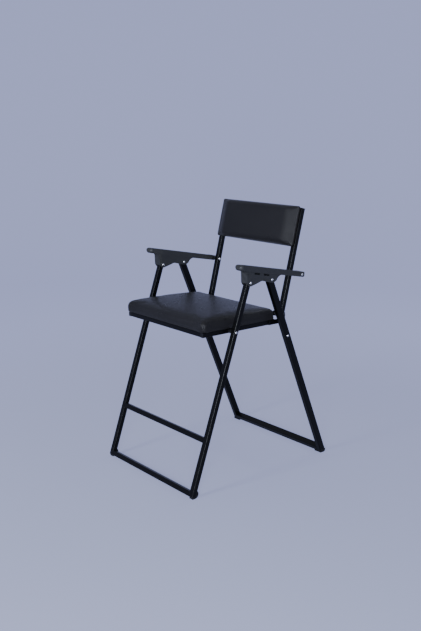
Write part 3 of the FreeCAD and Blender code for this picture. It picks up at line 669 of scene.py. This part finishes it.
# %% The floor and its wall
FLAT, CURVE, WALL = 4.5, 2.5, 3.5

bm = bmesh.new()
line = [bm.verts.new((r, 0, 0)) for r in (0, FLAT)]
line += [bm.verts.new((FLAT + CURVE * math.sin(a), 0, CURVE * (1 - math.cos(a))))
         for a in (math.radians(15 * k) for k in range(1, 7))]
line.append(bm.verts.new((FLAT + CURVE, 0, CURVE + WALL)))
edges = [bm.edges.new(pair) for pair in zip(line, line[1:])]
bmesh.ops.spin(bm, geom=line + edges, cent=(0, 0, 0), axis=(0, 0, 1), angle=2 * math.pi, steps=64,
               use_merge=True)
bmesh.ops.remove_doubles(bm, verts=bm.verts[:], dist=0.01 * MM)
bmesh.ops.recalc_face_normals(bm, faces=bm.faces[:])
mesh = bpy.data.meshes.new("studio_floor")
bm.to_mesh(mesh)
bm.free()
mesh.materials.append(pale)
mesh.polygons.foreach_set("use_smooth", [True] * len(mesh.polygons))
floor = bpy.data.objects.new("studio_floor", mesh)
bpy.context.scene.collection.objects.link(floor)
print("floor faces:", len(mesh.polygons))

# %% [markdown]
# ## Light
# Black things show by what they mirror. A tall soft light straight in front draws the pad's curve,
# and a large one to the sitter's left draws the thin line down every corner that faces the picture.
# Three weak ones keep the top, the far side and the back from going dead. All are a little cool.

# %% Lights
COOL = (0.82, 0.88, 1.0)
# Name, place, the point it aims at, width and height, power in watts.
SOFTBOXES = (("Key", (0.1, -4.1, 2.2), (0, 0, 0.8), (0.7, 1.2), 200),
             ("Fill", (3.3, -3.2, 1.25), (0, 0, 0.7), (1.3, 1.7), 480),
             ("Edge", (3.0, 3.0, 2.0), (0, 0, 0.8), (0.7, 1.4), 8),
             ("Top", (-0.6, -0.4, 3.6), (0, 0, 0.6), (2.5, 2.5), 22),
             ("Behind", (-0.4, 4.0, 3.2), (0, 0, 0.9), (1.2, 1.0), 40))

for name, place, aim, size, power in SOFTBOXES:
    lamp = bpy.data.lights.new(name, "AREA")
    lamp.shape = "RECTANGLE"
    lamp.size, lamp.size_y = size
    lamp.energy = power
    lamp.color = COOL
    holder = bpy.data.objects.new(name, lamp)
    holder.location = place
    holder.rotation_euler = (Vector(aim) - Vector(place)).to_track_quat("-Z", "Y").to_euler()
    bpy.context.scene.collection.objects.link(holder)

world = bpy.data.worlds.new("Studio")
bpy.context.scene.world = world
world.use_nodes = True
world.node_tree.nodes["Background"].inputs["Color"].default_value = (0.86, 0.9, 1.0, 1)
world.node_tree.nodes["Background"].inputs["Strength"].default_value = 0.48
print("lights:", len(SOFTBOXES), "and the world")

# %% [markdown]
# ## Camera
# The camera looks from the sitter's left and a little from above. Its place, turn and lens were
# worked out from the corners and rivets of the real stool, and the shift frames it as in the
# picture.

# %% Camera
WIDTH, HEIGHT, SENSOR = 421, 631, 36
FOCAL = 788.16
CENTRE_X, CENTRE_Y = 217.52, 338.48
RIGHT = Vector((0.65665675, 0.75410734, 0.01171164))
UP = Vector((-0.19716202, 0.15665087, 0.96777458))
BACK = RIGHT.cross(UP)
PLACE = Vector((2.5933, -2.2857, 1.4559))

camera = bpy.data.cameras.new("Camera")
camera.sensor_width = SENSOR
camera.lens = FOCAL * SENSOR / HEIGHT
camera.shift_x = (WIDTH / 2 - CENTRE_X) / HEIGHT
camera.shift_y = (CENTRE_Y - HEIGHT / 2) / HEIGHT
eye = bpy.data.objects.new("Camera", camera)
eye.matrix_world = Matrix((
    (RIGHT.x, UP.x, BACK.x, PLACE.x),
    (RIGHT.y, UP.y, BACK.y, PLACE.y),
    (RIGHT.z, UP.z, BACK.z, PLACE.z),
    (0, 0, 0, 1)))
bpy.context.scene.collection.objects.link(eye)
bpy.context.scene.camera = eye
print("lens", round(camera.lens, 2), "mm")
